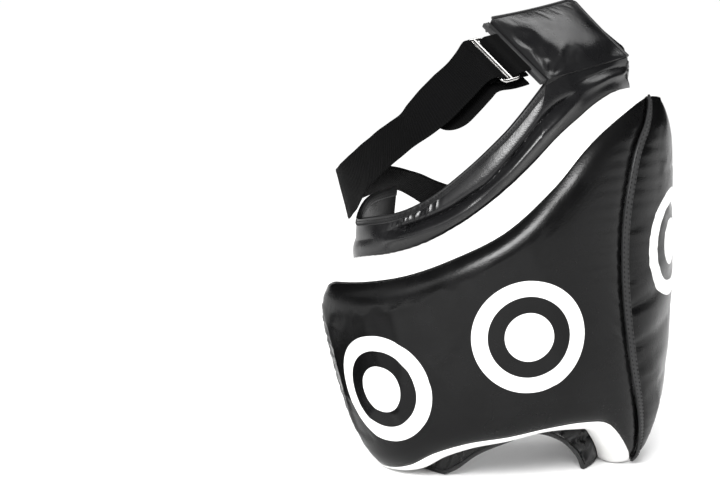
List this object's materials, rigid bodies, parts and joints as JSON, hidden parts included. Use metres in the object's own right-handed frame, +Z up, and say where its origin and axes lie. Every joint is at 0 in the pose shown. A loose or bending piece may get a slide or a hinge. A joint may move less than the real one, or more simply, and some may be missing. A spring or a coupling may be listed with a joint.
{
  "type": "thigh guard",
  "caption": "Padded thigh guard for striking sports: foam front and side pads on a soft laced wrap, with a hip pad and a buckled webbing belt round the waist.",
  "frame": {"origin": "on the floor, under the middle of the guard's box as it stands on its lower edge", "axes": "+Z up along the leg, -Y towards the front of the thigh, +X towards the outside of the leg, where the side pad and the belt pad are"},
  "size_m": [0.3414, 0.257, 0.4415],
  "materials": {
    "cover_vinyl": "smooth glossy black vinyl-coated cloth over foam, with a faint grain and plain white printed rings",
    "gusset_vinyl": "smooth white vinyl",
    "wrap_vinyl": "soft black vinyl with gathers and folds",
    "trim_vinyl": "black vinyl binding with a row of stitches",
    "webbing": "black ribbed webbing with plain selvedges",
    "nickel": "bright nickel-plated steel",
    "lace": "black braided cord"
  },
  "bodies": {
    "root": {"front_pad": "cover_vinyl", "side_pad": "cover_vinyl", "front_gusset": "gusset_vinyl", "side_gusset": "gusset_vinyl", "seam_welt": "trim_vinyl", "inner_wrap": "wrap_vinyl", "rim_binding_front": "trim_vinyl", "rim_binding_back": "trim_vinyl", "hem_binding": "trim_vinyl", "belt_pad": "wrap_vinyl", "belt_pad_binding": "trim_vinyl", "belt_tab": "webbing", "strap_slide": "nickel", "slide_flap": "webbing", "belt_strap": "webbing", "back_lace": "lace"}
  },
  "joints": []
}
